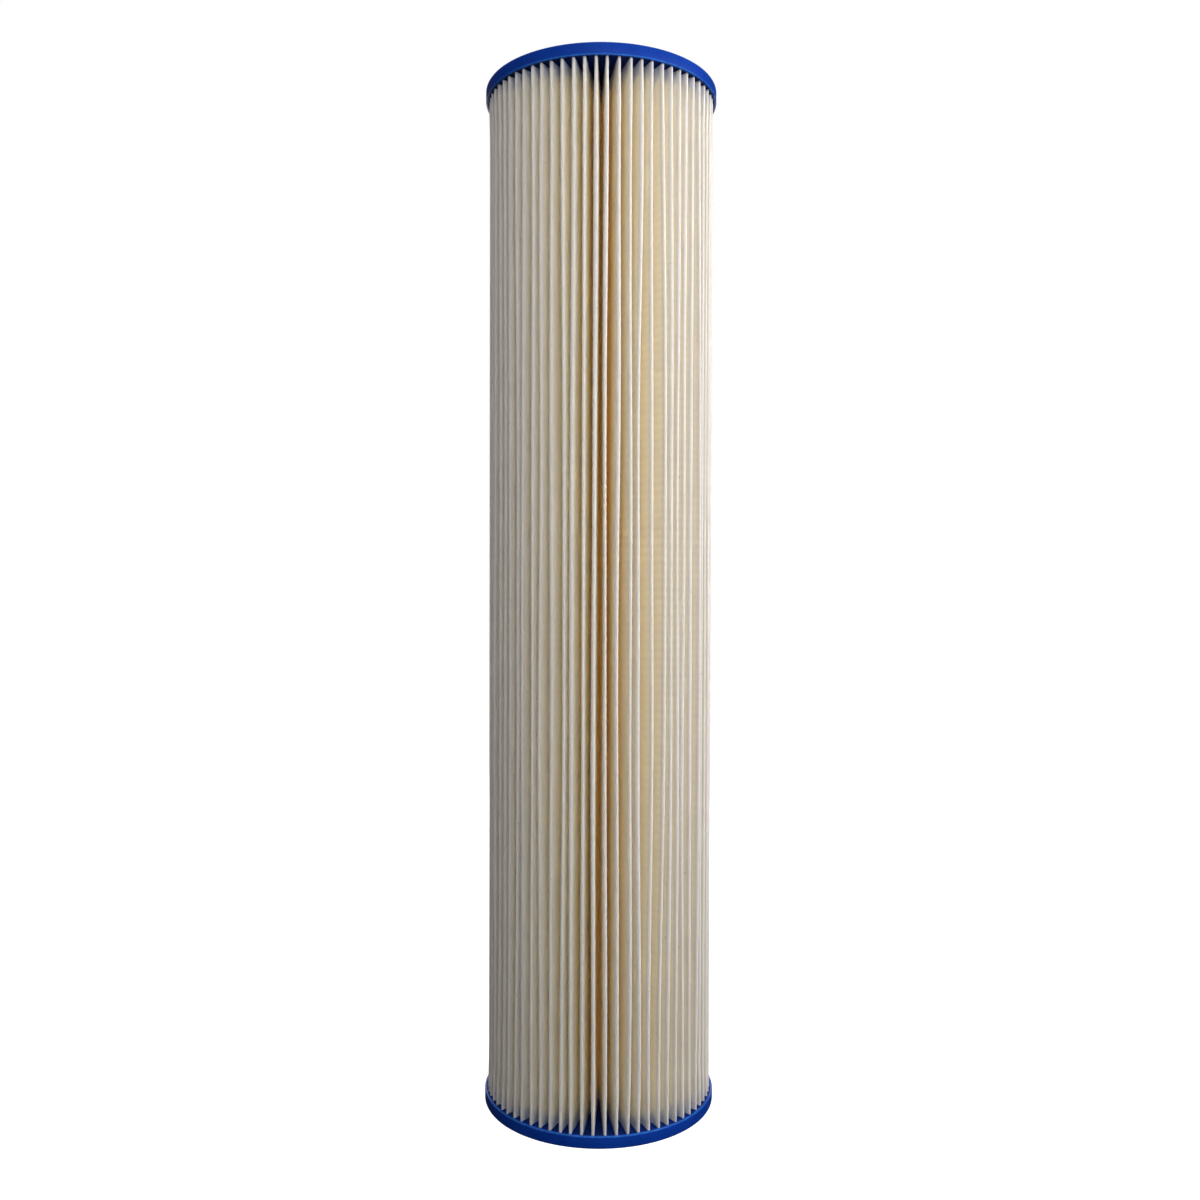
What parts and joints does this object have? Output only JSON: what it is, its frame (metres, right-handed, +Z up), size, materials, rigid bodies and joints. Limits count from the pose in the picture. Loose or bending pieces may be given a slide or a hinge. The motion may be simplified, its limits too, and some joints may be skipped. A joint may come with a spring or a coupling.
{
  "type": "pleated water filter cartridge",
  "caption": "Tall pleated filter cartridge, open at both ends, with a cast cap and a flat gasket at each end and a windowed core tube inside.",
  "frame": {"origin": "centre of the lower end face, on the cartridge's axis", "axes": "+Z up the cartridge's axis, towards the upper end; +Y to the back, where the side seam is half a pleat off the Y axis; the front faces -Y"},
  "size_m": [0.116, 0.116, 0.508],
  "materials": {
    "end_cap": "satin cast vinyl",
    "gasket": "matte moulded elastomer",
    "media": "matte fibrous filter sheet with fine cross corrugation",
    "adhesive": "satin hot-melt adhesive",
    "core": "satin moulded polypropylene"
  },
  "bodies": {
    "root": {"lower_end_cap": "end_cap", "upper_end_cap": "end_cap", "lower_gasket": "gasket", "upper_gasket": "gasket", "pleated_media": "media", "side_seam_bead": "adhesive", "core_lower_section": "core", "core_upper_section": "core", "core_coupling": "core"}
  },
  "joints": []
}
